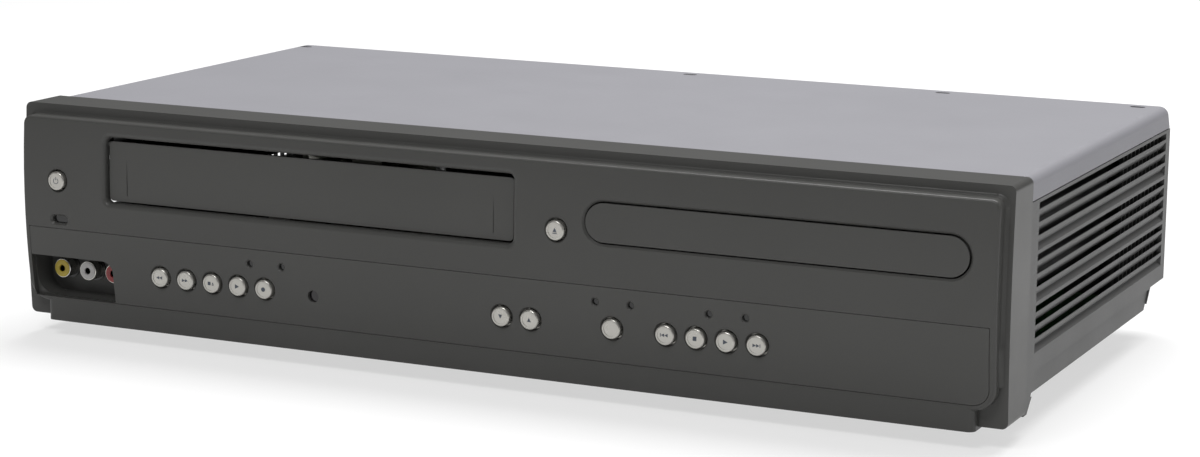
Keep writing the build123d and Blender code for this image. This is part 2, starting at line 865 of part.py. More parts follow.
# ---------------------------------------------------------------- rear panel and sockets
socket_pitch = 14.0
socket_columns = 3
socket_rows = 2
socket_height = 57.0
sockets_x = 60.0
socket_groups = (-sockets_x, sockets_x)
tuner_x = 35.5 - width / 2
tuner_pitch = 20.0
tuner_height = 60.0
barrel_radius = 4.76
barrel_collar = 5.6
root_y = panel_y + 0.4  # rear end of the sockets' roots
gland_x = width / 2 - 37.5
gland_height = 48.0
gland_bore = 3.6
gland_neck = 5.5
gland_flange = 7.5
socket_back = panel_y - rear_gauge
rear_sockets = [
    (group + (column - 1) * socket_pitch, socket_height + (row - 0.5) * socket_pitch)
    for group in socket_groups
    for column in range(socket_columns)
    for row in range(socket_rows)
]
barrels = [(tuner_x + side * tuner_pitch / 2, tuner_height) for side in (-1, 1)]

with BuildPart() as rear_panel:
    panel_half = inner_half - 0.2
    panel_low = heel_height + floor_wall
    extrude(
        rounded_outline(
            -panel_half, panel_half, panel_low, cover_under, panel_y, cover_bend, cover_bend, 0, 0
        ),
        rear_gauge,
    )
    block(
        -panel_half + 4 * cover_bend,
        panel_half - 4 * cover_bend,
        panel_y - 12.0,
        panel_y,
        cover_under - rear_gauge,
        cover_under,
    )
    for x, z in rear_sockets:
        spike(x, z, socket_back - 1, panel_y + 1, jack_collar + hole_gap, mode=Mode.SUBTRACT)
    for x, z in barrels:
        spike(x, z, socket_back - 1, panel_y + 1, barrel_collar + hole_gap, mode=Mode.SUBTRACT)
    spike(gland_x, gland_height, socket_back - 1, panel_y + 1, gland_neck + hole_gap, mode=Mode.SUBTRACT)
    for x in rear_screw_xs:
        spike(x, rear_screw_z, socket_back - 1, panel_y + 1, screw_radius + hole_gap, mode=Mode.SUBTRACT)
save(rear_panel.part, "rear_panel")

with BuildPart() as rear_av_jacks:
    for group in socket_groups:
        block(
            group - 1.5 * socket_pitch,
            group + 1.5 * socket_pitch,
            socket_back - 12.0,
            socket_back,
            socket_height - socket_pitch,
            socket_height + socket_pitch,
        )
    for x, z in rear_sockets:
        spike(x, z, socket_back - 1, root_y, jack_collar)
        spike(x, z, panel_y, socket_tip, jack_radius)
        spike(x, z, socket_back - 4, socket_tip, jack_bore, mode=Mode.SUBTRACT)
save(rear_av_jacks.part, "rear_av_jacks")

with BuildPart() as tuner:
    block(
        tuner_x - 22.0,
        tuner_x + 22.0,
        socket_back - 18.0,
        socket_back,
        tuner_height - 24.0,
        tuner_height + 16.0,
    )
    for x, z in barrels:
        spike(x, z, socket_back - 1, root_y, barrel_collar)
        spike(x, z, panel_y, socket_tip, barrel_radius)
        spike(x, z, socket_back - 2, socket_tip, 1.0, mode=Mode.SUBTRACT)
save(tuner.part, "tuner")

with BuildPart() as cord_gland:
    spike(gland_x, gland_height, panel_y, panel_y + 2.0, gland_flange)
    fillet(cord_gland.edges().sort_by(Axis.Y)[-1], 0.8)
    spike(gland_x, gland_height, socket_back - 6.0, panel_y, gland_neck)
    spike(gland_x, gland_height, socket_back - 2.0, socket_back, gland_flange)
    spike(gland_x, gland_height, socket_back - 7.0, panel_y + 3.0, gland_bore, mode=Mode.SUBTRACT)
save(cord_gland.part, "cord_gland")

# ---------------------------------------------------------------- feet and screws
foot_x = width / 2 - 29.0
foot_places = [(side * foot_x, y) for side in (-1, 1) for y in (front_y + 56.0, rear_y - 60.0)]
with BuildPart() as feet:
    with BuildSketch(Plane.XY) as pads:
        with Locations(*foot_places):
            Circle(foot_radius - 2.0)
    extrude(amount=belly_height, taper=-8)
    fillet(feet.edges().group_by(Axis.Z)[0], 0.8)
save(feet.part, "feet")

with BuildPart() as screws:
    for x in rear_screw_xs:
        spike(x, rear_screw_z, cover_back, cover_back + screw_head_height, screw_head)
    fillet(screws.edges().group_by(Axis.Y)[-1], 0.8)
    for x, y in deck_posts:
        post(x, y, belly_height - screw_head_height, belly_height, screw_head)
        post(x, y, belly_height - 0.5, belly_height + screw_length - 1, screw_radius)
    for x in rear_screw_xs:
        spike(x, rear_screw_z, socket_back - 3, cover_back + 0.5, screw_radius)
save(screws.part, "screws")

# ---------------------------------------------------------------- boards
deck_top = deck_height + deck_gauge
chip_height = 2.0
can_height = 5.0
with BuildPart() as main_board:
    board_top = main_board_height + board_gauge
    block(board_left, board_right, board_front, board_back, main_board_height, board_top)
    for x, y in deck_posts:
        post(x, y, main_board_height - 1, board_top + 1, post_radius + 4 * hole_gap, mode=Mode.SUBTRACT)
    for column in range(5):
        x = board_left + 50 + column * 32
        block(x - 8, x + 8, board_front + 30, board_front + 46, board_top - 0.5, board_top + chip_height)
        post(x, board_front + 66, board_top - 0.5, board_top + can_height, 4.0)
        post(x - 14, board_front + 20, board_top - 0.5, board_top + can_height, 3.0)
save(main_board.part, "main_board")

with BuildPart() as power_board:
    block(power_left, power_right, power_front, board_back, main_board_height, board_top)
    core_x = power_left + 40
    core_y = board_back - 28
    block(core_x - 17, core_x + 17, core_y - 14, core_y + 14, board_top - 0.5, board_top + 21)
    block(core_x - 12, core_x + 12, core_y - 18, core_y + 18, board_top - 0.5, board_top + 16)
    for count in range(4):
        post(core_x + 36 + count * 17, board_back - 18, board_top - 0.5, board_top + 20, 7.0)
    sink_x = core_x + 30
    sink_y = board_back - 46
    block(sink_x, sink_x + 60, sink_y, sink_y + 2, board_top - 0.5, board_top + 20)
    for count in range(7):
        fin_x = sink_x + count * 9
        block(fin_x, fin_x + 1.5, sink_y, sink_y + 10, board_top - 0.5, board_top + 20)
    for column in range(4):
        x = power_left + 24 + column * 30
        block(x - 9, x + 9, power_front + 22, power_front + 40, board_top - 0.5, board_top + chip_height)
save(power_board.part, "power_board")


# ================================================================ cassette deck
def over(dx):
    """X of a place in the cassette deck, from the cassette's middle."""
    return cassette_x + dx


def at(depth):
    """Y of a place at a depth behind the flange's front plane."""
    return front_y + depth


# ---------------------------------------------------------------- door
with BuildPart() as cassette_door:
    door_left = bay_left + door_gap
    door_right = bay_right - door_gap
    door_top = bay_top - door_head_gap
    door_base = bay_base + door_gap
    add(
        bowed_panel(
            door_left,
            door_right,
            door_base,
            door_top,
            door_setback,
            door_setback + door_gauge,
            4 * (bay_corner - door_gap,),
        )
    )
    for x in (door_left + groove_inset, door_right - groove_inset):
        groove_y = face_y(crest_height, door_setback)
        block(
            x - groove_width / 2,
            x + groove_width / 2,
            groove_y - 2,
            groove_y + groove_depth,
            door_base + groove_margin,
            door_top - groove_margin,
            mode=Mode.SUBTRACT,
        )
    for side, edge in ((-1, door_left), (1, door_right)):
        x0, x1 = sorted((edge - side * 1.0, edge + side * (ear_width - 1.0)))
        bar(x0, x1, pivot_y, pivot_height, door_pin)
save(cassette_door.part, "cassette_door")

# ---------------------------------------------------------------- deck plate
capstan = (over(capstan_offset), at(capstan_row))
arm_dx = 25.0  # the pinch arm's pivot, from the capstan
arm_dy = 15.0
arm_pivot = (over(capstan_offset + arm_dx), at(capstan_row + arm_dy))
bearing_radius = 5.0
arm_height = deck_top + 15.0
arm_gauge = 3.0
reels = {"supply_reel_table": -reel_spread / 2, "takeup_reel_table": reel_spread / 2}
keel_radius = 2.0
reel_pin = 2.0
with BuildPart() as deck_plate:
    block(over(-deck_half_width), over(deck_half_width), at(deck_front), at(deck_back), deck_height, deck_top)
    post(*capstan, deck_height - 1, deck_top + 1, bearing_radius + hole_gap, mode=Mode.SUBTRACT)
    with BuildSketch(Plane.XY.offset(deck_height - 1)) as guide_slots:
        for side in (-1, 1):
            with Locations((over(side * guide_spread / 2), at(guide_row + guide_travel / 2))):
                SlotCenterToCenter(guide_travel + 2, 2 * keel_radius + 2 * slide_gap, rotation=90)
    extrude(amount=deck_gauge + 2, mode=Mode.SUBTRACT)
    for dx in reels.values():
        post(over(dx), at(reel_row), deck_top - 0.5, deck_top + 16.0, reel_pin)
    post(*arm_pivot, deck_top - 0.5, arm_height - 0.2, 4.0)
    post(*arm_pivot, deck_top, arm_height + arm_gauge + 1.0, 2.0)
save(deck_plate.part, "deck_plate")

# ---------------------------------------------------------------- cassette carrier
carrier_half = cassette_width / 2 + 1.0
carrier_floor = bay_base + 0.1
side_plate = 1.2
slider_in = carrier_half + carrier_gauge + 0.5
slider_out = slider_in + side_plate
bracket_in = slider_out + 0.4
bracket_out = bracket_in + side_plate
pin_height = carrier_floor + 5.0
pin_depths = (carrier_front + 28.0, carrier_front + 56.0)
peg_rise = carrier_floor + cassette_thick
peg_depths = (carrier_front + 26.0, carrier_front + 58.0)
peg_thick = 1.5
slider_top = peg_rise + 11.0
side_signs = (-1, 1)

with BuildPart() as cassette_carrier:
    low = carrier_floor - carrier_gauge
    block(
        over(-carrier_half - carrier_gauge),
        over(carrier_half + carrier_gauge),
        at(carrier_front),
        at(carrier_front + carrier_depth),
        low,
        carrier_floor + 13.0,
    )
    block(
        over(-carrier_half),
        over(carrier_half),
        at(carrier_front - 1),
        at(carrier_front + carrier_depth + 1),
        carrier_floor,
        carrier_floor + 14.0,
        mode=Mode.SUBTRACT,
    )
    block(
        over(-carrier_half + 10.0),
        over(carrier_half - 10.0),
        at(carrier_front + 10.0),
        at(carrier_front + carrier_depth + 1),
        low - 1,
        carrier_floor + 1,
        mode=Mode.SUBTRACT,
    )
    for side in side_signs:
        for depth in pin_depths:
            x0, x1 = sorted((over(side * (carrier_half + 0.5)), over(side * (slider_out - 0.1))))
            bar(x0, x1, at(depth), pin_height, carrier_pin)
save(cassette_carrier.part, "cassette_carrier")

with BuildPart() as carrier_slider:
    for side in side_signs:
        x0, x1 = sorted((over(side * slider_in), over(side * slider_out)))
        block(
            x0,
            x1,
            at(carrier_front + 20.0),
            at(carrier_front + 64.0),
            pin_height - carrier_drop - 4.0,
            slider_top,
        )
        for depth in pin_depths:
            with BuildSketch(Plane.YZ.offset(x0 - 1)) as drop_slot:
                with Locations((at(depth), pin_height - carrier_drop / 2)):
                    SlotCenterToCenter(carrier_drop, 2 * carrier_pin + 2 * running_fit, rotation=90)
            extrude(amount=side_plate + 2, mode=Mode.SUBTRACT)
        for depth in peg_depths:
            x2, x3 = sorted((over(side * (slider_in + 0.5)), over(side * (bracket_out - 0.1))))
            bar(x2, x3, at(depth), peg_rise, peg_thick)
    bar(over(-slider_out + 0.2), over(slider_out - 0.2), at(carrier_front + 42.0), slider_top - 4.0, 2.0)
save(carrier_slider.part, "carrier_slider")

with BuildPart() as carrier_brackets:
    for side in side_signs:
        x0, x1 = sorted((over(side * bracket_in), over(side * bracket_out)))
        block(x0, x1, at(carrier_front + 2.0), at(carrier_front + 100.0), deck_top, slider_top)
        x2, x3 = sorted((over(side * bracket_in), over(side * (bracket_out + 5.0))))
        block(x2, x3, at(carrier_front + 2.0), at(carrier_front + 100.0), deck_top, deck_top + 1.0)
        with BuildSketch(Plane.YZ.offset(x0 - 1)) as ride_slots:
            for depth in peg_depths:
                with Locations((at(depth + carrier_travel / 2), peg_rise)):
                    SlotCenterToCenter(carrier_travel, 2 * peg_thick + 2 * running_fit)
        extrude(amount=side_plate + 2, mode=Mode.SUBTRACT)
save(carrier_brackets.part, "carrier_brackets")

# ---------------------------------------------------------------- head drum, tilted
tilt = radians(drum_tilt)
drum_plane = Plane(origin=(cassette_x, at(drum_row), deck_top + 4.0), z_dir=(sin(tilt), 0, cos(tilt)))
drum_shaft = 3.0
drum_gap = 0.3
with BuildPart() as head_drum_lower:
    post(cassette_x, at(drum_row), deck_top, deck_top + 7.0, drum_radius - 8.0)
    with BuildSketch(drum_plane.offset(1.0)) as lower_ring:
        Circle(drum_radius)
    extrude(amount=drum_half_height)
    with BuildSketch(drum_plane.offset(-2.0)) as drum_bore:
        Circle(drum_shaft + running_fit)
    extrude(amount=drum_half_height + 5, mode=Mode.SUBTRACT)
save(head_drum_lower.part, "head_drum_lower")

with BuildPart() as head_drum_upper:
    upper_start = 1.0 + drum_half_height + drum_gap
    with BuildSketch(drum_plane.offset(upper_start)) as upper_ring:
        Circle(drum_radius)
    extrude(amount=drum_half_height)
    fillet(head_drum_upper.edges().sort_by(Axis.Z)[-1], 0.8)
    with BuildSketch(drum_plane.offset(upper_start + drum_half_height - 6)) as drum_dish:
        Circle(drum_radius - 5)
        Circle(drum_shaft + 7, mode=Mode.SUBTRACT)
    extrude(amount=7, mode=Mode.SUBTRACT)
    with BuildSketch(drum_plane) as drum_axle:
        Circle(drum_shaft)
    extrude(amount=upper_start + 1)
save(head_drum_upper.part, "head_drum_upper")

# ---------------------------------------------------------------- capstan and pinch roller
ring_radius = 22.0
stator_height = deck_height - 7.4
with BuildPart() as capstan_motor:
    post(*capstan, stator_height, stator_height + 1.0, ring_radius)
    post(*capstan, deck_height - 1.0, deck_height, ring_radius)
    with Locations((capstan[0], capstan[1], (stator_height + deck_height) / 2)):
        with PolarLocations(ring_radius - 2.0, 3):
            Cylinder(1.5, deck_height - stator_height - 0.5)
    post(*capstan, deck_height - 0.5, arm_height - 0.5, bearing_radius)
    post(*capstan, deck_height - 2, arm_height, capstan_radius + running_fit, mode=Mode.SUBTRACT)
save(capstan_motor.part, "capstan_motor")

with BuildPart() as capstan_shaft:
    post(*capstan, stator_height + 1.0 + slide_gap, deck_height - 1.0 - slide_gap, ring_radius - 4.5)
    post(*capstan, deck_height - 2, arm_height + arm_gauge + 14.0, capstan_radius)
save(capstan_shaft.part, "capstan")

swing = 25.0
pinch_distance = roller_radius + capstan_radius + hole_gap
reach_dx = pinch_distance * cos(pi / 4) - arm_dx
reach_dy = -pinch_distance * sin(pi / 4) - arm_dy
turn = radians(swing)
roller = (
    arm_pivot[0] + reach_dx * cos(turn) - reach_dy * sin(turn),
    arm_pivot[1] + reach_dx * sin(turn) + reach_dy * cos(turn),
)
arm_half = 4.0
roller_pin = 1.5
with BuildPart() as pinch_arm:
    with BuildSketch(Plane.XY.offset(arm_height)) as arm_plan:
        for end in (arm_pivot, roller):
            with Locations(end):
                Circle(arm_half)
        with BuildLine():
            along = Vector(roller[0] - arm_pivot[0], roller[1] - arm_pivot[1]).normalized() * (arm_half - 0.5)
            ax, ay = arm_pivot
            bx, by = roller
            Polyline(
                (ax - along.Y, ay + along.X),
                (bx - along.Y, by + along.X),
                (bx + along.Y, by - along.X),
                (ax + along.Y, ay - along.X),
                close=True,
            )
        make_face()
    extrude(amount=arm_gauge)
    post(*arm_pivot, arm_height - 1, arm_height + arm_gauge + 1, 2.0 + running_fit, mode=Mode.SUBTRACT)
    post(*roller, arm_height + arm_gauge - 0.5, arm_height + arm_gauge + 14.0, roller_pin)
save(pinch_arm.part, "pinch_arm")

with BuildPart() as pinch_roller:
    post(*roller, arm_height + arm_gauge + slide_gap, arm_height + arm_gauge + 13.0, roller_radius)
    post(*roller, arm_height, arm_height + arm_gauge + 20, roller_pin + running_fit, mode=Mode.SUBTRACT)
save(pinch_roller.part, "pinch_roller")

# ---------------------------------------------------------------- reels, guides, heads, motor
hub_radius = 8.5
for name, dx in reels.items():
    with BuildPart() as table:
        x, y = over(dx), at(reel_row)
        post(x, y, deck_top + slide_gap, deck_top + 2.0, 5.0)
        post(x, y, deck_top + 1.5, deck_top + 4.5, reel_radius)
        post(x, y, deck_top + 4.0, deck_top + 18.5, hub_radius)
        fillet(table.edges().sort_by(Axis.Z)[-1], 2.0)
        with Locations((x, y, deck_top + 9.5)):
            with PolarLocations(hub_radius, 3):
                Box(2.4, 1.6, 11.0)
        post(x, y, deck_top, deck_top + 16.5, reel_pin + running_fit, mode=Mode.SUBTRACT)
    save(table.part, name)

with BuildPart() as tape_guides:
    for side in side_signs:
        x, y = over(side * guide_spread / 2), at(guide_row)
        block(x - 6, x + 6, y - 6, y + 6, deck_top + slide_gap, deck_top + 6.0)
        post(x, y, deck_height + 0.2, deck_top + 1.0, keel_radius)
        post(x, y, deck_top + 5.5, deck_top + 28.0, 3.0)
        post(x, y, deck_top + 28.0, deck_top + 29.0, 4.0)
save(tape_guides.part, "tape_guides")

with BuildPart() as tape_heads:
    block(over(-66), over(-54), at(130), at(138), deck_top, deck_top + 26)
    block(over(48.5), over(56.5), at(141), at(149), deck_top, deck_top + 28)
save(tape_heads.part, "tape_heads")

with BuildPart() as loading_motor:
    motor = (over(-86), at(160))
    post(*motor, deck_top, deck_top + 26.0, 10.0)
    post(*motor, deck_top + 25.0, deck_top + 28.0, 3.0)
    post(*motor, deck_top + 28.0, deck_top + 33.0, 5.0)
save(loading_motor.part, "loading_motor")

# ================================================================ disc loader
def beside(dx):
    """X of a place in the loader, from the disc's middle."""
    return disc_x + dx


# ---------------------------------------------------------------- frame
loader_top = 80.0
loader_front = 3.0
floor_gauge = 2.5
rack_line = -62.0
pitch_radius = gear_module * gear_teeth / 2
gear_x = beside(rack_line + pitch_radius + hole_gap)
gear_y = at(gear_row)
gear_top = tray_base - 0.5
gear_low = slot_base + 0.8
axle_radius = 2.0
rail_in = 68.0
lip_in = 69.5
hinge_row = 152.0
hinge_height = traverse_base + 2.5
hinge_pin = 1.5
window_half = traverse_half_width + 2.0
ear = 6.0
with BuildPart() as loader_frame:
    inner = loader_half_width - loader_wall
    floor_over = loader_base + floor_gauge
    block(
        beside(-loader_half_width),
        beside(loader_half_width),
        at(loader_front),
        at(loader_back),
        loader_base,
        loader_top,
    )
    block(
        beside(-inner),
        beside(inner),
        at(loader_front - 1),
        at(loader_back + 1),
        floor_over,
        loader_top + 1,
        mode=Mode.SUBTRACT,
    )
    block(
        beside(-window_half),
        beside(window_half),
        at(38),
        at(162),
        loader_base - 1,
        floor_over + 1,
        mode=Mode.SUBTRACT,
    )
    for side in side_signs:
        x0, x1 = sorted((beside(side * rail_in), beside(side * (inner + 0.5))))
        block(x0, x1, at(loader_front), at(loader_back), tray_base - 1.8, tray_base - slide_gap)
        x0, x1 = sorted((beside(side * lip_in), beside(side * (inner + 0.5))))
        block(x0, x1, at(loader_front), at(loader_back), tray_top + slide_gap, tray_top + 2.0)
        # Hinge lugs of the traverse
        x0, x1 = sorted((beside(side * (window_half + 0.5)), beside(side * (window_half + 4.0))))
        block(x0, x1, at(hinge_row - 4), at(hinge_row + 4), floor_over - 0.5, hinge_height + 4)
    for x, y in loader_posts:
        side = 1 if x > disc_x else -1
        x0, x1 = sorted((beside(side * (loader_half_width - 0.5)), x + side * ear))
        block(x0, x1, y - ear, y + ear, loader_base, floor_over)
    bar(
        beside(-window_half - 3.0),
        beside(window_half + 3.0),
        at(hinge_row),
        hinge_height,
        hinge_pin + running_fit,
        mode=Mode.SUBTRACT,
    )
    post(gear_x, gear_y, floor_over - 0.5, gear_top, axle_radius)
save(loader_frame.part, "loader_frame")

# ---------------------------------------------------------------- tray
tray_front_y = face_y(tray_top, tray_front_gauge)
tooth_pitch = pi * gear_module
tooth_rise = 1.1
tooth_fall = 1.5
tooth_half = tooth_pitch / 4 - 0.3
flank = tan(radians(20))
with BuildPart() as disc_tray:
    block(beside(-tray_half_width), beside(tray_half_width), tray_front_y, at(tray_back), tray_base, tray_top)
    post(disc_x, at(disc_row), tray_floor, tray_top + 1, disc_radius + 0.75, mode=Mode.SUBTRACT)
    post(disc_x, at(disc_row), tray_floor - 1.2, tray_top + 1, 41.0, mode=Mode.SUBTRACT)
    with BuildSketch(Plane.XY.offset(tray_base - 1)) as sled_window:
        with Locations((disc_x, at(disc_row))):
            Circle(19.0)
        with Locations((disc_x, at(disc_row))):
            Rectangle(38.0, tray_back, align=(Align.CENTER, Align.MIN))
    extrude(amount=tray_top - tray_base + 2, mode=Mode.SUBTRACT)
    # Rack under the tray's left edge
    root_x = beside(rack_line - tooth_fall)
    rack_start = gear_y - 1.5 * tooth_pitch
    rack_count = int((at(tray_back) - rack_start) / tooth_pitch)
    block(root_x - 3.0, root_x, tray_front_y + 6, at(tray_back), gear_low, tray_base + 0.5)
    with BuildSketch(Plane.XY.offset(gear_low)) as rack_teeth:
        for count in range(rack_count):
            middle = rack_start + count * tooth_pitch
            with BuildLine():
                Polyline(
                    (root_x - 0.5, middle - tooth_half - flank * tooth_fall),
                    (root_x, middle - tooth_half - flank * tooth_fall),
                    (beside(rack_line + tooth_rise), middle - tooth_half + flank * tooth_rise),
                    (beside(rack_line + tooth_rise), middle + tooth_half - flank * tooth_rise),
                    (root_x, middle + tooth_half + flank * tooth_fall),
                    (root_x - 0.5, middle + tooth_half + flank * tooth_fall),
                    close=True,
                )
            make_face()
    extrude(amount=tray_base + 0.5 - gear_low)
save(disc_tray.part, "disc_tray")

with BuildPart() as tray_front:
    front_sheet = bowed_sheet(
        beside(-slot_width), slot_base - 5, slot_top + 5, tray_setback, tray_front_gauge
    )
    extrude(front_sheet, 2 * slot_width)
    with BuildSketch(facing(hollow_y)) as stadium:
        with Locations((disc_x, slot_mid)):
            SlotOverall(slot_width - 2 * tray_gap, slot_top - slot_base - 2 * tray_gap)
    extrude(amount=2 * crest, mode=Mode.INTERSECT)
save(tray_front.part, "tray_front")

with BuildPart() as tray_gear:
    with BuildSketch(Plane.XY.offset(gear_low)) as gear_plan:
        Circle(pitch_radius - tooth_fall)
        with BuildLine():
            Polyline(
                (pitch_radius - tooth_fall - 0.5, -tooth_half - flank * tooth_fall),
                (pitch_radius - tooth_fall, -tooth_half - flank * tooth_fall),
                (pitch_radius + tooth_rise, -tooth_half + flank * tooth_rise + 0.15),
                (pitch_radius + tooth_rise, tooth_half - flank * tooth_rise - 0.15),
                (pitch_radius - tooth_fall, tooth_half + flank * tooth_fall),
                (pitch_radius - tooth_fall - 0.5, tooth_half + flank * tooth_fall),
                close=True,
            )
        tooth = make_face(mode=Mode.PRIVATE)
        with PolarLocations(0, gear_teeth, start_angle=180):
            add(tooth)
    extrude(amount=gear_top - gear_low)
    post(0, 0, floor_over + slide_gap, gear_low + 0.5, 4.0)
    post(0, 0, floor_over, gear_top + 1, axle_radius + running_fit, mode=Mode.SUBTRACT)
save(tray_gear.part.moved(Location((gear_x, gear_y, 0))), "tray_gear")

# ---------------------------------------------------------------- traverse with motor and sled
motor_radius = 13.0
traverse_front = 42.0
traverse_back = 158.0
sled_window_half = 32.0
motor_base = traverse_base + traverse_gauge
motor_top = motor_base + 7.0
shaft_radius = 1.5
rod_dx = 26.0
rod_height = motor_base + 4.0
rod_radius = 1.5
sled_row = 92.0
sled_length = 24.0
lug_rows = (sled_row - 4.0, sled_row + sled_length + sled_travel + 4.0)
with BuildPart() as traverse_chassis:
    block(
        beside(-traverse_half_width),
        beside(traverse_half_width),
        at(traverse_front),
        at(traverse_back),
        traverse_base,
        motor_base,
    )
    block(
        beside(-sled_window_half),
        beside(sled_window_half),
        at(lug_rows[0]),
        at(lug_rows[1] - 3),
        traverse_base - 1,
        motor_base + 1,
        mode=Mode.SUBTRACT,
    )
    for row in lug_rows:
        for side in side_signs:
            x = beside(side * rod_dx)
            block(x - 4, x + 4, at(row - 3), at(row), motor_base - 1, rod_height + 3)
    for side in side_signs:
        x0, x1 = sorted((beside(side * (traverse_half_width - 2)), beside(side * (window_half + 2.7))))
        bar(x0, x1, at(hinge_row), hinge_height, hinge_pin)
        spike(
            beside(side * rod_dx),
            rod_height,
            at(lug_rows[0] - 4),
            at(lug_rows[1] + 1),
            rod_radius + running_fit,
            mode=Mode.SUBTRACT,
        )
save(traverse_chassis.part, "traverse_chassis")

with BuildPart() as spindle_motor:
    post(disc_x, at(disc_row), motor_base, motor_top, motor_radius)
    post(disc_x, at(disc_row), motor_base - 1, motor_top + 1, shaft_radius + running_fit, mode=Mode.SUBTRACT)
save(spindle_motor.part, "spindle_motor")

platter_top = tray_floor + 1.0
with BuildPart() as turntable:
    post(disc_x, at(disc_row), motor_base + 0.5, platter_top, shaft_radius)
    post(disc_x, at(disc_row), motor_top + slide_gap, platter_top - 2.5, 11.0)
    post(disc_x, at(disc_row), platter_top - 2.6, platter_top, 14.0)
    post(disc_x, at(disc_row), platter_top, platter_top + 3.2, 7.4)
    fillet(turntable.edges().sort_by(Axis.Z)[-1], 2.0)
save(turntable.part, "turntable")

with BuildPart() as sled_rod:
    spike(beside(-rod_dx), rod_height, at(lug_rows[0] - 3), at(lug_rows[1]), rod_radius)
save(sled_rod.part, "sled_rod")

with BuildPart() as lead_screw:
    spike(beside(rod_dx), rod_height, at(lug_rows[0] - 3), at(lug_rows[1]), rod_radius)
    spike(beside(rod_dx), rod_height, at(lug_rows[0] + slide_gap), at(lug_rows[1] - 3 - slide_gap), 2.2)
save(lead_screw.part, "lead_screw")

with BuildPart() as pickup_sled:
    block(
        beside(-rod_dx - 4),
        beside(rod_dx - 4),
        at(sled_row),
        at(sled_row + sled_length),
        motor_base + 1.0,
        motor_base + 10.0,
    )
    block(
        beside(rod_dx - 5),
        beside(rod_dx + 3),
        at(sled_row + 4),
        at(sled_row + sled_length - 4),
        rod_height + 2.2 + slide_gap,
        motor_base + 10.0,
    )
    spike(
        beside(-rod_dx),
        rod_height,
        at(sled_row - 1),
        at(sled_row + sled_length + 1),
        rod_radius + running_fit,
        mode=Mode.SUBTRACT,
    )
    block(beside(-8), beside(8), at(sled_row + 1), at(sled_row + 15), motor_base + 9.5, tray_base + 0.5)
    post(disc_x, at(sled_row + 8), tray_base, tray_base + 2.0, 3.5)
save(pickup_sled.part, "pickup_sled")

# ---------------------------------------------------------------- clamp over the disc
bridge_gauge = 1.2
clamp_hub = 10.0
with BuildPart() as clamp_bridge:
    block(
        beside(-loader_half_width),
        beside(loader_half_width),
        at(disc_row - 13),
        at(disc_row + 13),
        loader_top,
        loader_top + bridge_gauge,
    )
    post(disc_x, at(disc_row), loader_top - 1, loader_top + 3, clamp_hub + 0.5, mode=Mode.SUBTRACT)
save(clamp_bridge.part, "clamp_bridge")

with BuildPart() as clamper_disc:
    post(disc_x, at(disc_row), tray_top + 0.8, loader_top - slide_gap, 14.0)
    post(disc_x, at(disc_row), tray_top + 1, loader_top + bridge_gauge + 1, clamp_hub)
    post(disc_x, at(disc_row), loader_top + bridge_gauge + slide_gap, loader_top + bridge_gauge + 2.0, 13.0)
save(clamper_disc.part, "clamper_disc")
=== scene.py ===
import math

import bmesh
import bpy
from mathutils import Matrix, Vector


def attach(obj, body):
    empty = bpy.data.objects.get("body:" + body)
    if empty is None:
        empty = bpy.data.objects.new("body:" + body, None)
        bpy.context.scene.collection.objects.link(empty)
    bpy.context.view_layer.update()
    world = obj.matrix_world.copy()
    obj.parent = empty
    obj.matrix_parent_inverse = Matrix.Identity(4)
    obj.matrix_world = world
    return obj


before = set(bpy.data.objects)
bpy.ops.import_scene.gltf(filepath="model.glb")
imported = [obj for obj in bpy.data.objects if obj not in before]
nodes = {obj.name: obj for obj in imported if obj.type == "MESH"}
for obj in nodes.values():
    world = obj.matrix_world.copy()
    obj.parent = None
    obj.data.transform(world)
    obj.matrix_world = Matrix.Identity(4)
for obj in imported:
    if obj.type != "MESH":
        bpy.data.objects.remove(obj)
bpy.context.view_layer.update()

# A tabletop deck for video cassettes and discs. The object's sizes are in millimetres, as in its
# solids' source, and point() makes them metres. Camera, floor and lamps are placed in metres.
MM = 0.001

# ---------------------------------------------------------------- sizes shared with the solids
# The bezel's front: a flange with a flat front plane, and a bowed plate ahead of it
FRONT_Y = -109.1  # the flange's front plane
FLANGE_BASE = 8.6
FLANGE_TOP = 99.5
FLANGE_BOW = 1.6  # most that the flange's sides bow ahead of that plane
CREST = 8.7  # the plate's most forward line, ahead of that plane
CREST_Z = 64.6
FACE_RADIUS = 312.0  # of the plate's bow
PLATE_HALF = 214.1
PLATE_TOP = 95.0
PLATE_CORNER = 3.6
COVE = 2.2  # radius of the hollow between flange and plate
COVE_SINK = 0.15  # a hollow's outer end, behind the flange's face

# Keys
KEY_PROUD = 1.4  # a cap's rim, ahead of the face
DISH = 0.2  # depth of a cap's hollow
KEY_PITCH = 12.6
KEY_Z = 31.6
UPPER_KEY_Z = 68.5
STANDBY_X = -196.4
OPEN_X = 36.7
TAPE_KEY_X = -146.8
TRACKING_X = 12.3
SOURCE_X = 60.1
DISC_KEY_X = 82.8

# Signal sockets
JACK_X = -202.4  # the first of three in the front recess
JACK_PITCH = 13.0
JACK_Z = 28.6
JACK_TIP = FRONT_Y + 1.5
JACK_ROOT = FRONT_Y + 6.9  # where the bright shell ends
SOCKET_GROUPS = (("tape", -60.0), ("disc", 60.0))  # the middles of two groups in the rear panel
SOCKET_PITCH = 14.0
SOCKET_Z = 57.0  # between the two rows
SOCKET_TIP = 119.2
SOCKET_ROOT = 112.4  # where the bright shell begins


def face_y(z):
    """Y of the plate's bowed face at height z."""
    return FRONT_Y - CREST + FACE_RADIUS - math.sqrt(FACE_RADIUS**2 - (z - CREST_Z) ** 2)


def point(x, y, z):
    """A place in millimetres as a vector in metres."""
    return Vector((x * MM, y * MM, z * MM))


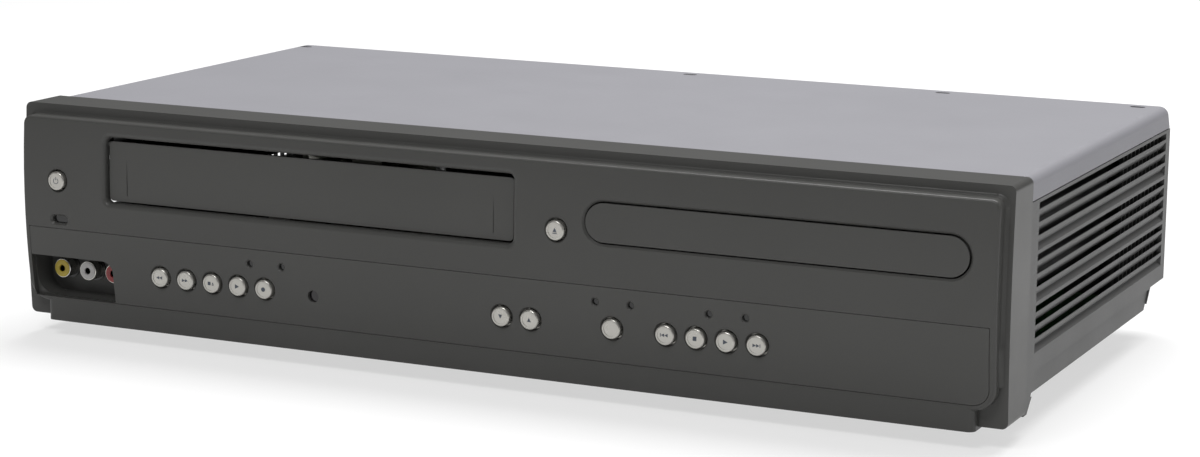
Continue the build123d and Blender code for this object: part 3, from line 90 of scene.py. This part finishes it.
# ---------------------------------------------------------------- camera, as in the photograph
PHOTO_WIDTH = 1200  # pixels, as the next two values are
PHOTO_HEIGHT = 457
FOCAL_LENGTH = 2902.146
VIEW_CENTRE = (603.596, 228.885)  # where the lens's axis meets the picture, in pixels
SENSOR_WIDTH = 36.0
CAMERA_PLACE = (0.52128, -1.10541, 0.28191)
CAMERA_YAW = 0.4394  # radians
CAMERA_PITCH = 0.1911
CAMERA_ROLL = 0.0088
NEAR_CLIP = 0.05
FAR_CLIP = 20.0


def camera():
    level = math.cos(CAMERA_PITCH)
    forward = Vector(
        (-math.sin(CAMERA_YAW) * level, math.cos(CAMERA_YAW) * level, -math.sin(CAMERA_PITCH))
    )
    right = Vector((math.cos(CAMERA_YAW), math.sin(CAMERA_YAW), 0.0))
    up = right.cross(forward)
    across = math.cos(CAMERA_ROLL) * right + math.sin(CAMERA_ROLL) * up
    upward = -math.sin(CAMERA_ROLL) * right + math.cos(CAMERA_ROLL) * up
    data = bpy.data.cameras.new("camera")
    data.sensor_fit = "HORIZONTAL"
    data.sensor_width = SENSOR_WIDTH
    data.lens = FOCAL_LENGTH / PHOTO_WIDTH * SENSOR_WIDTH
    data.shift_x = -(VIEW_CENTRE[0] - PHOTO_WIDTH / 2) / PHOTO_WIDTH
    data.shift_y = (VIEW_CENTRE[1] - PHOTO_HEIGHT / 2) / PHOTO_WIDTH
    data.clip_start = NEAR_CLIP
    data.clip_end = FAR_CLIP
    obj = bpy.data.objects.new("camera", data)
    turn = Matrix((across, upward, -forward)).transposed().to_4x4()
    obj.matrix_world = Matrix.Translation(CAMERA_PLACE) @ turn
    bpy.context.scene.collection.objects.link(obj)
    bpy.context.scene.camera = obj


# ---------------------------------------------------------------- materials
class Shader:
    """A node material in the making."""

    def __init__(self, name):
        self.material = bpy.data.materials.new(name)
        self.material.use_nodes = True
        self.tree = self.material.node_tree
        self.tree.nodes.clear()
        self.out = self.add("ShaderNodeOutputMaterial")
        self.bsdf = self.add("ShaderNodeBsdfPrincipled")
        self.link(self.bsdf.outputs["BSDF"], self.out.inputs["Surface"])
        self.place = self.add("ShaderNodeTexCoord").outputs["Object"]

    def add(self, kind):
        return self.tree.nodes.new(kind)

    def link(self, a, b):
        self.tree.links.new(a, b)

    def feed(self, socket, value):
        """Give a socket a number, a colour or another node's output."""
        if isinstance(value, tuple):
            socket.default_value = (*value, 1.0)
        elif isinstance(value, (int, float)):
            socket.default_value = value
        else:
            self.link(value, socket)

    def noise(self, scale, detail=3.0, rough=0.55, stretch=None):
        node = self.add("ShaderNodeTexNoise")
        node.inputs["Scale"].default_value = scale
        node.inputs["Detail"].default_value = detail
        node.inputs["Roughness"].default_value = rough
        place = self.place
        if stretch:
            mapping = self.add("ShaderNodeMapping")
            mapping.inputs["Scale"].default_value = stretch
            self.link(place, mapping.inputs["Vector"])
            place = mapping.outputs["Vector"]
        self.link(place, node.inputs["Vector"])
        return node.outputs["Fac"]

    def ramp(self, value, stops):
        node = self.add("ShaderNodeValToRGB")
        ramp = node.color_ramp
        while len(ramp.elements) < len(stops):
            ramp.elements.new(0.5)
        for element, (at, colour) in zip(ramp.elements, stops):
            element.position = at
            element.color = (*colour, 1.0)
        self.link(value, node.inputs["Fac"])
        return node.outputs["Color"]

    def spread(self, value, low, high):
        node = self.add("ShaderNodeMapRange")
        node.inputs["To Min"].default_value = low
        node.inputs["To Max"].default_value = high
        self.link(value, node.inputs["Value"])
        return node.outputs["Result"]

    def math(self, kind, a, b):
        node = self.add("ShaderNodeMath")
        node.operation = kind
        self.feed(node.inputs[0], a)
        self.feed(node.inputs[1], b)
        return node.outputs["Value"]

    def mix(self, factor, a, b):
        node = self.add("ShaderNodeMix")
        node.data_type = "RGBA"
        node.blend_type = "MIX"
        self.feed(node.inputs["Factor"], factor)
        colours = [socket for socket in node.inputs if socket.type == "RGBA"]
        self.feed(colours[0], a)
        self.feed(colours[1], b)
        return next(socket for socket in node.outputs if socket.type == "RGBA")

    def bump(self, height, distance, strength):
        node = self.add("ShaderNodeBump")
        node.inputs["Strength"].default_value = strength
        node.inputs["Distance"].default_value = distance
        self.link(height, node.inputs["Height"])
        self.link(node.outputs["Normal"], self.bsdf.inputs["Normal"])

    def colour(self, value):
        self.feed(self.bsdf.inputs["Base Color"], value)

    def rough(self, value):
        self.feed(self.bsdf.inputs["Roughness"], value)


def shade(colour, factor):
    return tuple(min(1.0, c * factor) for c in colour)


def satin(name, colour, rough=0.42, grain=0.00003, vary=0.06, gloss=0.5, metallic=0.0):
    """Moulded or painted: fine texture, slight clouding, a little rubbed. grain is in metres."""
    s = Shader(name)
    cloud = s.noise(9.0, 4.0)
    fine = s.noise(2600.0, 2.0)
    tone = s.ramp(cloud, [(0.3, shade(colour, 1 - vary)), (0.7, shade(colour, 1 + vary))])
    speck = s.ramp(fine, [(0.35, shade(colour, 0.93)), (0.65, shade(colour, 1.08))])
    s.colour(s.mix(0.35, tone, speck))
    s.rough(s.spread(s.noise(38.0, 5.0), rough - 0.05, rough + 0.07))
    s.bump(fine, grain, 0.6)
    s.bsdf.inputs["Specular IOR Level"].default_value = gloss
    s.bsdf.inputs["Metallic"].default_value = metallic
    return s.material


def metal(name, colour, rough, stretch=(1.0, 40.0, 40.0)):
    """Drawn, turned or brushed metal, with its lines along the axis that is stretched least."""
    s = Shader(name)
    lines = s.noise(60.0, 6.0, 0.7, stretch)
    cloud = s.noise(14.0, 3.0)
    tone = s.ramp(cloud, [(0.3, shade(colour, 0.92)), (0.72, shade(colour, 1.08))])
    streak = s.ramp(lines, [(0.35, shade(colour, 0.9)), (0.65, shade(colour, 1.06))])
    s.colour(s.mix(0.5, tone, streak))
    s.rough(s.spread(lines, rough - 0.07, rough + 0.09))
    s.bump(lines, 0.00002, 0.5)
    s.bsdf.inputs["Metallic"].default_value = 1.0
    return s.material


def board_material():
    """A circuit board: lacquer over a net of copper tracks."""
    s = Shader("circuit_board")
    cells = s.add("ShaderNodeTexVoronoi")
    cells.feature = "DISTANCE_TO_EDGE"
    cells.inputs["Scale"].default_value = 190.0
    s.link(s.place, cells.inputs["Vector"])
    tracks = s.ramp(cells.outputs["Distance"], [(0.05, (0.09, 0.2, 0.06)), (0.09, (0.025, 0.1, 0.035))])
    cloud = s.ramp(s.noise(40.0), [(0.35, (0.02, 0.09, 0.03)), (0.7, (0.035, 0.13, 0.045))])
    s.colour(s.mix(0.5, tracks, cloud))
    s.rough(s.spread(s.noise(80.0), 0.32, 0.5))
    s.bump(cells.outputs["Distance"], 0.00004, 0.4)
    return s.material


def socket_shell(name, split, forward):
    """Bright shell on the open side of a depth, near-black behind it."""
    s = Shader(name)
    apart = s.add("ShaderNodeSeparateXYZ")
    s.link(s.place, apart.inputs["Vector"])
    shell = s.math("LESS_THAN" if forward else "GREATER_THAN", apart.outputs["Y"], split * MM)
    cloud = s.ramp(s.noise(400.0), [(0.3, (0.5, 0.49, 0.45)), (0.7, (0.66, 0.65, 0.61))])
    s.colour(s.mix(shell, (0.014, 0.014, 0.014), cloud))
    s.link(shell, s.bsdf.inputs["Metallic"])
    s.rough(s.spread(s.noise(600.0), 0.16, 0.3))
    return s.material


def dress(names, material):
    for name in names:
        data = nodes[name].data
        data.materials.clear()
        data.materials.append(material)


GREY = (0.0600, 0.0598, 0.0572)
PANEL = (0.0630, 0.0628, 0.0600)
HOOD = (0.238, 0.236, 0.256)
SIDE = (0.100, 0.100, 0.099)
CAP = (0.43, 0.42, 0.39)

bezel_paint = satin("bezel_paint", GREY, rough=0.33, grain=0.00002, gloss=0.2)
panel_paint = satin("panel_paint", PANEL, rough=0.35, grain=0.00002, gloss=0.2)
hood_paint = satin("hood_paint", HOOD, rough=0.5, vary=0.03, gloss=0.3)
side_moulding = satin("side_moulding", SIDE, rough=0.5, grain=0.00004, vary=0.04, gloss=0.3)
cap_paint = satin("cap_paint", CAP, rough=0.27, grain=0.00001, vary=0.03, metallic=0.7)
smoked = satin("smoked_lens", (0.012, 0.012, 0.012), rough=0.12, grain=0.0, vary=0.1)
ir_dark = satin("ir_filter", (0.008, 0.006, 0.008), rough=0.08, grain=0.0, vary=0.1)
black = satin("black_moulding", (0.016, 0.016, 0.016), rough=0.45, vary=0.1)
cream = satin("cream_acetal", (0.58, 0.54, 0.44), rough=0.35)
yellow = satin("yellow_insert", (0.42, 0.31, 0.012), rough=0.3, grain=0.00001)
white = satin("white_insert", (0.46, 0.45, 0.44), rough=0.3, grain=0.00001)
red = satin("red_insert", (0.26, 0.012, 0.014), rough=0.3, grain=0.00001)
rubber = satin("foot_rubber", (0.02, 0.02, 0.02), rough=0.75, grain=0.00008, vary=0.15)
blackened = satin("blackened_steel", (0.02, 0.02, 0.02), rough=0.5, grain=0.00001)
ink = satin("symbol_ink", (0.045, 0.055, 0.075), rough=0.5, grain=0.0)
plated = metal("plated_steel", (0.56, 0.55, 0.5), rough=0.34)
bright = metal("bright_steel", (0.66, 0.66, 0.66), rough=0.18, stretch=(30.0, 30.0, 1.0))
alloy = metal("turned_alloy", (0.72, 0.72, 0.72), rough=0.22, stretch=(1.0, 1.0, 60.0))
board = board_material()
front_shell = socket_shell("front_socket_shell", JACK_ROOT, True)
rear_shell = socket_shell("rear_socket_shell", SOCKET_ROOT, False)

dress(["front_bezel", "tray_front"], bezel_paint)
dress(["control_panel", "cassette_door"], panel_paint)
dress(["top_cover"], hood_paint)
dress(["chassis_tub"], side_moulding)
dress([name for name in nodes if name.endswith("_button")], cap_paint)
dress(["indicator_lenses"], smoked)
dress(["ir_window"], ir_dark)
dress(["feet", "pinch_roller"], rubber)
dress(["front_board", "main_board", "power_board"], board)
dress(["rear_panel", "tuner", "deck_plate"], plated)
dress(["carrier_brackets", "carrier_slider", "cassette_carrier"], blackened)
dress(["capstan_motor", "loading_motor", "spindle_motor", "clamp_bridge", "pinch_arm"], plated)
dress(["screws", "capstan", "tape_guides", "tape_heads", "sled_rod", "lead_screw"], bright)
dress(["head_drum_lower", "head_drum_upper"], alloy)
dress(["supply_reel_table", "takeup_reel_table", "tray_gear"], cream)
dress(["cord_gland", "loader_frame", "disc_tray", "traverse_chassis"], black)
dress(["turntable", "pickup_sled", "clamper_disc"], black)
dress(["front_video_jack", "front_audio_left_jack", "front_audio_right_jack"], front_shell)
dress(["rear_av_jacks"], rear_shell)


# ---------------------------------------------------------------- mesh helpers
def mesh_object(name, bm, material, smooth=False):
    bmesh.ops.recalc_face_normals(bm, faces=bm.faces)
    data = bpy.data.meshes.new(name)
    bm.to_mesh(data)
    bm.free()
    data.materials.append(material)
    if smooth:
        data.shade_smooth()
    obj = bpy.data.objects.new(name, data)
    bpy.context.scene.collection.objects.link(obj)
    return obj


def prism(bm, outline, y0, y1):
    """A flat shape, given as (x, z) places, between two depths."""
    near = [bm.verts.new(point(x, y0, z)) for x, z in outline]
    far = [bm.verts.new(point(x, y1, z)) for x, z in outline]
    bm.faces.new(near)
    bm.faces.new(list(reversed(far)))
    for i in range(len(outline)):
        j = (i + 1) % len(outline)
        bm.faces.new((near[j], near[i], far[i], far[j]))


def join_sections(bm, sections):
    """Faces from each closed section to the next."""
    for a, b in zip(sections, sections[1:]):
        for j in range(len(a)):
            k = (j + 1) % len(a)
            bm.faces.new((a[j], a[k], b[k], b[j]))


# ---------------------------------------------------------------- outlines, as (x, z) places
def triangle(x, z, size, direction):
    """An arrowhead as wide as tall, pointing right, left or up or down."""
    h = size / 2
    corners = {
        "right": [(x - h, z - h), (x + h, z), (x - h, z + h)],
        "left": [(x + h, z - h), (x + h, z + h), (x - h, z)],
        "up": [(x - h, z - h), (x + h, z - h), (x, z + h)],
        "down": [(x - h, z + h), (x, z - h), (x + h, z + h)],
    }
    return corners[direction]


def rectangle(x, z, wide, tall):
    w, h = wide / 2, tall / 2
    return [(x - w, z - h), (x + w, z - h), (x + w, z + h), (x - w, z + h)]


def disc(radius, sides=28):
    turns = [2 * math.pi * i / sides for i in range(sides)]
    return [(radius * math.cos(t), radius * math.sin(t)) for t in turns]


def arc_stroke(radius, width, start, end, sides=20):
    """The four-sided lengths of a stroke round part of a circle, angles in degrees."""
    turns = [math.radians(start + (end - start) * i / sides) for i in range(sides + 1)]
    outside, inside = radius + width / 2, radius - width / 2
    outer = [(outside * math.cos(t), outside * math.sin(t)) for t in turns]
    inner = [(inside * math.cos(t), inside * math.sin(t)) for t in turns]
    return [[inner[i], outer[i], outer[i + 1], inner[i + 1]] for i in range(sides)]


# ---------------------------------------------------------------- symbols on the keys
PRINT = 0.03  # the print reaches this far above and below a cap's hollow
STROKE = 0.28
ARROW = 1.4  # each head of a double arrow
ARROW_STEP = 0.72  # from a key's middle to each head's
SKIP_BAR = (0.3, 1.4)
SKIP_BAR_X = 1.65
SKIP_NEAR = 0.75  # the head beside the bar
SKIP_FAR = 0.7  # the other head, across the key's middle

# Each symbol is a list of outlines round its key's middle. The source key has none.
SYMBOLS = {
    "standby": [*arc_stroke(1.15, STROKE, 120, 420), rectangle(0, 1.0, STROKE, 1.3)],
    "open_close": [triangle(0, 0.25, 1.7, "up"), rectangle(0, -1.1, 1.9, 0.38)],
    "rewind": [triangle(side * ARROW_STEP, 0, ARROW, "left") for side in (-1, 1)],
    "fast_forward": [triangle(side * ARROW_STEP, 0, ARROW, "right") for side in (-1, 1)],
    "stop_eject": [
        rectangle(-0.75, 0, 1.35, 1.45),
        triangle(0.95, 0.15, 0.95, "up"),
        rectangle(0.95, -0.62, 0.95, STROKE),
    ],
    "tape_play": [triangle(0.1, 0, 1.95, "right")],
    "record": [disc(0.95)],
    "tracking_down": [triangle(0, 0, 1.7, "down")],
    "tracking_up": [triangle(0, 0, 1.7, "up")],
    "previous": [
        rectangle(-SKIP_BAR_X, 0, *SKIP_BAR),
        triangle(-SKIP_NEAR, 0, ARROW, "left"),
        triangle(SKIP_FAR, 0, ARROW, "left"),
    ],
    "disc_stop": [rectangle(0, 0, 1.6, 1.7)],
    "disc_play": [triangle(0.1, 0, 1.95, "right")],
    "next": [
        rectangle(SKIP_BAR_X, 0, *SKIP_BAR),
        triangle(SKIP_NEAR, 0, ARROW, "right"),
        triangle(-SKIP_FAR, 0, ARROW, "right"),
    ],
}


def key_places():
    """Middle of each key as (x, z), by name."""
    places = {"standby": (STANDBY_X, UPPER_KEY_Z), "open_close": (OPEN_X, UPPER_KEY_Z)}
    rows = (
        (TAPE_KEY_X, ("rewind", "fast_forward", "stop_eject", "tape_play", "record")),
        (TRACKING_X, ("tracking_down", "tracking_up")),
        (SOURCE_X, ("source",)),
        (DISC_KEY_X, ("previous", "disc_stop", "disc_play", "next")),
    )
    for first, names in rows:
        for i, name in enumerate(names):
            places[name] = (first + i * KEY_PITCH, KEY_Z)
    return places


for name, (x, z) in key_places().items():
    if name not in SYMBOLS:
        continue
    floor = face_y(z) - KEY_PROUD + DISH
    bm = bmesh.new()
    for outline in SYMBOLS[name]:
        prism(bm, [(x + a, z + b) for a, b in outline], floor - PRINT, floor + PRINT)
    piece = mesh_object(name + "_symbol", bm, ink)
    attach(piece, name + "_key")


# ---------------------------------------------------------------- coloured inserts of the sockets
INSERT_BORE = 1.35
INSERT_RADIUS = 3.75
INSERT_RISE = 0.3  # ahead of the socket's tip
INSERT_ROOT = 0.4  # behind it
INSERT_RIM = 0.3  # rounding of both rims
RIM_STEPS = 5
INSERT_SIDES = 40


def insert_section():
    """Half section of an insert, as (radius, reach ahead of the tip)."""
    quarter = [math.pi / 2 * i / RIM_STEPS for i in range(RIM_STEPS + 1)]
    shoulder = INSERT_RISE - INSERT_RIM
    bore_rim = [
        (INSERT_BORE + INSERT_RIM * (1 - math.cos(t)), shoulder + INSERT_RIM * math.sin(t)) for t in quarter
    ]
    outer_rim = [
        (INSERT_RADIUS - INSERT_RIM * (1 - math.sin(t)), shoulder + INSERT_RIM * math.cos(t)) for t in quarter
    ]
    return [(INSERT_BORE, -INSERT_ROOT), *bore_rim, *outer_rim, (INSERT_RADIUS, -INSERT_ROOT)]


def socket_insert(name, x, z, tip, outward, material):
    """A ring in a socket's mouth; outward is the way along Y that the socket faces."""
    bm = bmesh.new()
    sections = []
    for i in range(INSERT_SIDES):
        t = 2 * math.pi * i / INSERT_SIDES
        places = [
            point(x + r * math.cos(t), tip + outward * reach, z + r * math.sin(t))
            for r, reach in insert_section()
        ]
        sections.append([bm.verts.new(place) for place in places])
    join_sections(bm, sections + sections[:1])
    piece = mesh_object(name, bm, material, smooth=True)
    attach(piece, "chassis")


colours = (("yellow", yellow), ("white", white), ("red", red))
for i, (slot, material) in enumerate(colours):
    x = JACK_X + i * JACK_PITCH
    socket_insert(f"front_insert_{slot}", x, JACK_Z, JACK_TIP, -1, material)
for group, middle in SOCKET_GROUPS:
    for row in (0, 1):
        z = SOCKET_Z + (row - 0.5) * SOCKET_PITCH
        for i, (slot, material) in enumerate(colours):
            x = middle + (i - 1) * SOCKET_PITCH
            socket_insert(f"{group}_insert_{slot}_{row}", x, z, SOCKET_TIP, 1, material)


# ---------------------------------------------------------------- hollow rounds at the plate's corners
CORNER_X = PLATE_HALF - PLATE_CORNER  # middle of an upper corner's rounding
CORNER_Z = PLATE_TOP - PLATE_CORNER
FLANGE_MID = (FLANGE_BASE + FLANGE_TOP) / 2
FLANGE_HALF = (FLANGE_TOP - FLANGE_BASE) / 2
SIDE_BOW = FLANGE_BOW * (1 - ((CORNER_Z - FLANGE_MID) / FLANGE_HALF) ** 2)
ROUND_BACK = 0.6  # depth behind the flange's face
ROUND_INSIDE = 0.5  # reach into the plate
ROUND_LIFT = 0.01  # ahead of the solids' own faces
ROUND_OVERRUN = 0.5  # degrees past the quarter turn, at each end
ROUND_STEPS = 18
HOLLOW_STEPS = 12


def corner_round(side, name):
    """The hollow that leads the flange into the plate, swept round an upper corner."""
    quarter = [math.pi / 2 * i / HOLLOW_STEPS for i in range(HOLLOW_STEPS + 1)]
    hollow = [(PLATE_CORNER + COVE * (1 - math.cos(a)), -COVE * (1 - math.sin(a))) for a in quarter]
    outside, inside = PLATE_CORNER + COVE, PLATE_CORNER - ROUND_INSIDE
    section = [*hollow, (outside, ROUND_BACK), (inside, ROUND_BACK), (inside, -COVE)]
    bm = bmesh.new()
    sections = []
    for i in range(ROUND_STEPS + 1):
        t = math.radians(-ROUND_OVERRUN + (90 + 2 * ROUND_OVERRUN) * i / ROUND_STEPS)
        surface = FRONT_Y - (SIDE_BOW - COVE_SINK) * max(0.0, math.cos(t)) ** 2 - ROUND_LIFT
        places = [
            point(side * (CORNER_X + r * math.cos(t)), surface + back, CORNER_Z + r * math.sin(t))
            for r, back in section
        ]
        sections.append([bm.verts.new(place) for place in places])
    join_sections(bm, sections)
    bm.faces.new(sections[0])
    bm.faces.new(list(reversed(sections[-1])))
    piece = mesh_object(f"corner_round_{name}", bm, bezel_paint, smooth=True)
    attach(piece, "chassis")


corner_round(-1, "left")
corner_round(1, "right")

# ---------------------------------------------------------------- stage and light
FLOOR_HALF = 6.0
FLOOR_GREY = (0.86, 0.86, 0.86, 1.0)
WHITE = (1.0, 1.0, 1.0, 1.0)
FLOOR_GLOW = 0.62  # share of plain white in what the camera and mirrors see of the floor
SKY_LIGHT = 0.15


def stage():
    """A white floor, as in a studio picture."""
    bm = bmesh.new()
    corners = rectangle(0, 0, 2 * FLOOR_HALF, 2 * FLOOR_HALF)
    bm.faces.new([bm.verts.new((x, y, 0.0)) for x, y in corners])
    s = Shader("floor_paint")
    s.tree.nodes.clear()
    out = s.add("ShaderNodeOutputMaterial")
    matt = s.add("ShaderNodeBsdfDiffuse")
    matt.inputs["Color"].default_value = FLOOR_GREY
    glow = s.add("ShaderNodeEmission")
    glow.inputs["Color"].default_value = WHITE
    glow.inputs["Strength"].default_value = 1.0
    path = s.add("ShaderNodeLightPath")
    seen = s.math("MAXIMUM", path.outputs["Is Camera Ray"], path.outputs["Is Glossy Ray"])
    seen = s.math("MAXIMUM", seen, path.outputs["Is Transmission Ray"])
    blend = s.add("ShaderNodeMixShader")
    s.link(s.math("MULTIPLY", seen, FLOOR_GLOW), blend.inputs[0])
    s.link(matt.outputs["BSDF"], blend.inputs[1])
    s.link(glow.outputs["Emission"], blend.inputs[2])
    s.link(blend.outputs["Shader"], out.inputs["Surface"])
    floor = mesh_object("floor", bm, s.material)


def lamp(name, place, target, size, power):
    """A rectangular lamp that points at target. Metres and watts."""
    data = bpy.data.lights.new(name, "AREA")
    data.shape = "RECTANGLE"
    data.size, data.size_y = size
    data.energy = power
    obj = bpy.data.objects.new(name, data)
    obj.location = place
    obj.rotation_euler = (Vector(target) - Vector(place)).to_track_quat("-Z", "Y").to_euler()
    bpy.context.scene.collection.objects.link(obj)


def sky():
    """White where the camera looks past the floor, and a dim even light on the object."""
    scene = bpy.context.scene
    scene.world = bpy.data.worlds.new("studio")
    scene.world.use_nodes = True
    tree = scene.world.node_tree
    tree.nodes.clear()
    out = tree.nodes.new("ShaderNodeOutputWorld")
    path = tree.nodes.new("ShaderNodeLightPath")
    mix = tree.nodes.new("ShaderNodeMixShader")
    tree.links.new(path.outputs["Is Camera Ray"], mix.inputs[0])
    for i, strength in ((1, SKY_LIGHT), (2, 1.0)):
        background = tree.nodes.new("ShaderNodeBackground")
        background.inputs["Color"].default_value = WHITE
        background.inputs["Strength"].default_value = strength
        tree.links.new(background.outputs["Background"], mix.inputs[i])
    tree.links.new(mix.outputs["Shader"], out.inputs["Surface"])


camera()
stage()
sky()
bpy.context.scene.view_settings.view_transform = "Standard"
lamp("key_light", (0.0, -1.2, 1.4), (0.03, 0, 0.05), (0.8, 0.5), 13.5)
lamp("side_light", (1.8, 0.3, 1.0), (0.1, 0, 0.05), (1.0, 1.0), 3.2)
lamp("top_light", (0.1, 0.75, 1.9), (0, 0.05, 0.1), (1.8, 1.2), 60.0)
